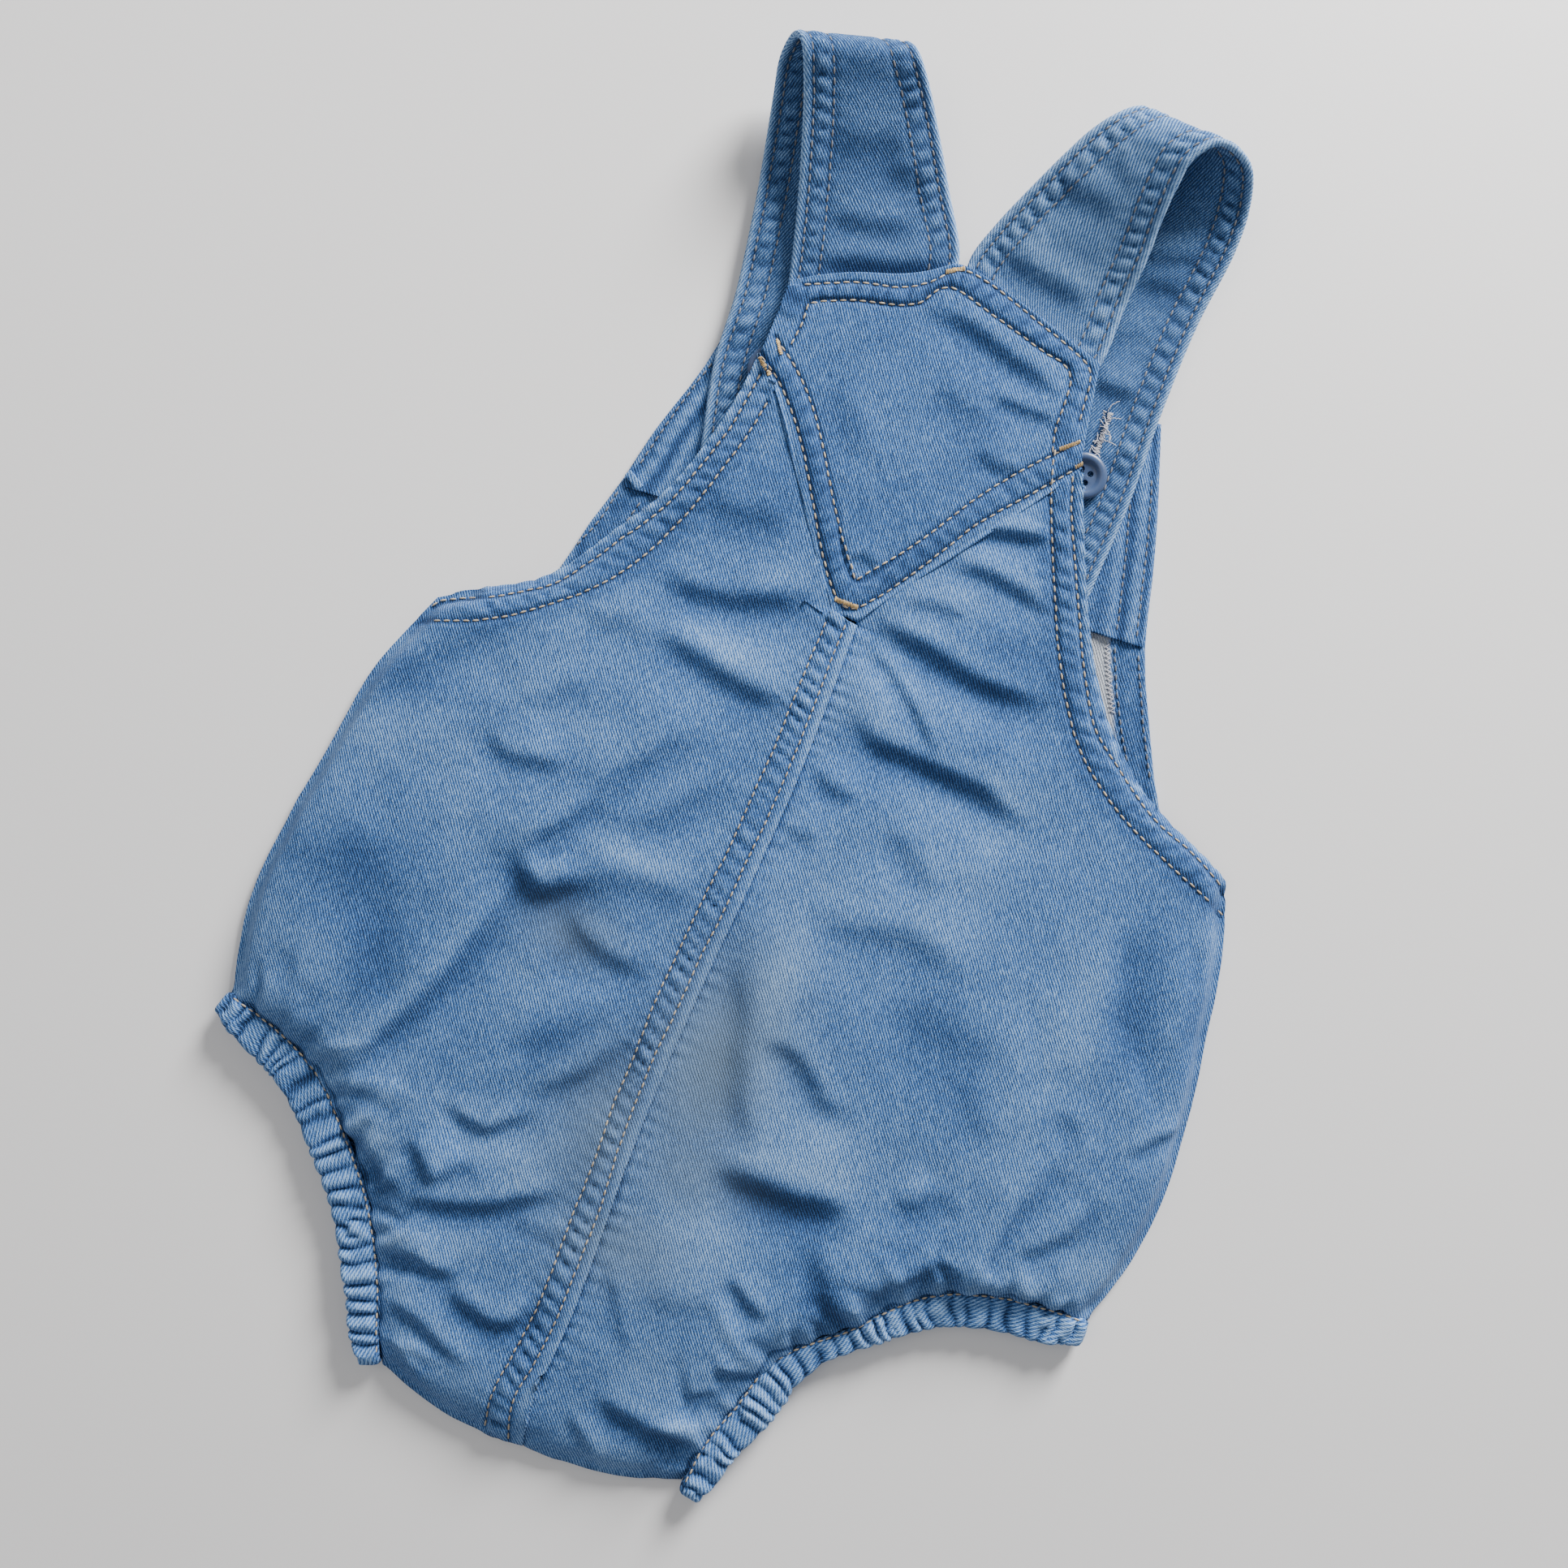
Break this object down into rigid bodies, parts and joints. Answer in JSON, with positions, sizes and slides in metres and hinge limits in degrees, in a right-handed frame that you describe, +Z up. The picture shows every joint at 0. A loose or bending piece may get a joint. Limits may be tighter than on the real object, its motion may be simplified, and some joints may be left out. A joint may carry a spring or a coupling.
{
  "type": "baby romper",
  "caption": "Denim baby romper laid flat with its back up: bubble body, V back yoke, looped shoulder straps buttoned to the bib and gathered elastic leg openings.",
  "frame": {"origin": "on the surface the romper lies on, under the middle of its body", "axes": "+X to the right across the back as it is seen from above, +Y from the crotch to the strap loops, +Z up from the surface"},
  "size_m": [0.3007, 0.454, 0.0303],
  "materials": {
    "denim": "washed light blue twill with bleached edges",
    "denim_inside": "pale wrong side of the twill",
    "denim_strap": "washed blue twill in two layers, puckered at its stitching",
    "denim_casing": "washed blue twill gathered over elastic",
    "button": "satin blue-grey moulded plastic"
  },
  "bodies": {
    "root": {"back_left": "denim", "back_right": "denim", "back_yoke": "denim", "front_panel": "denim_inside", "bib_facing": "denim", "strap_left": "denim_strap", "strap_right": "denim_strap", "leg_casing_left": "denim_casing", "leg_casing_right": "denim_casing", "button_left": "button", "button_right": "button"}
  },
  "joints": []
}
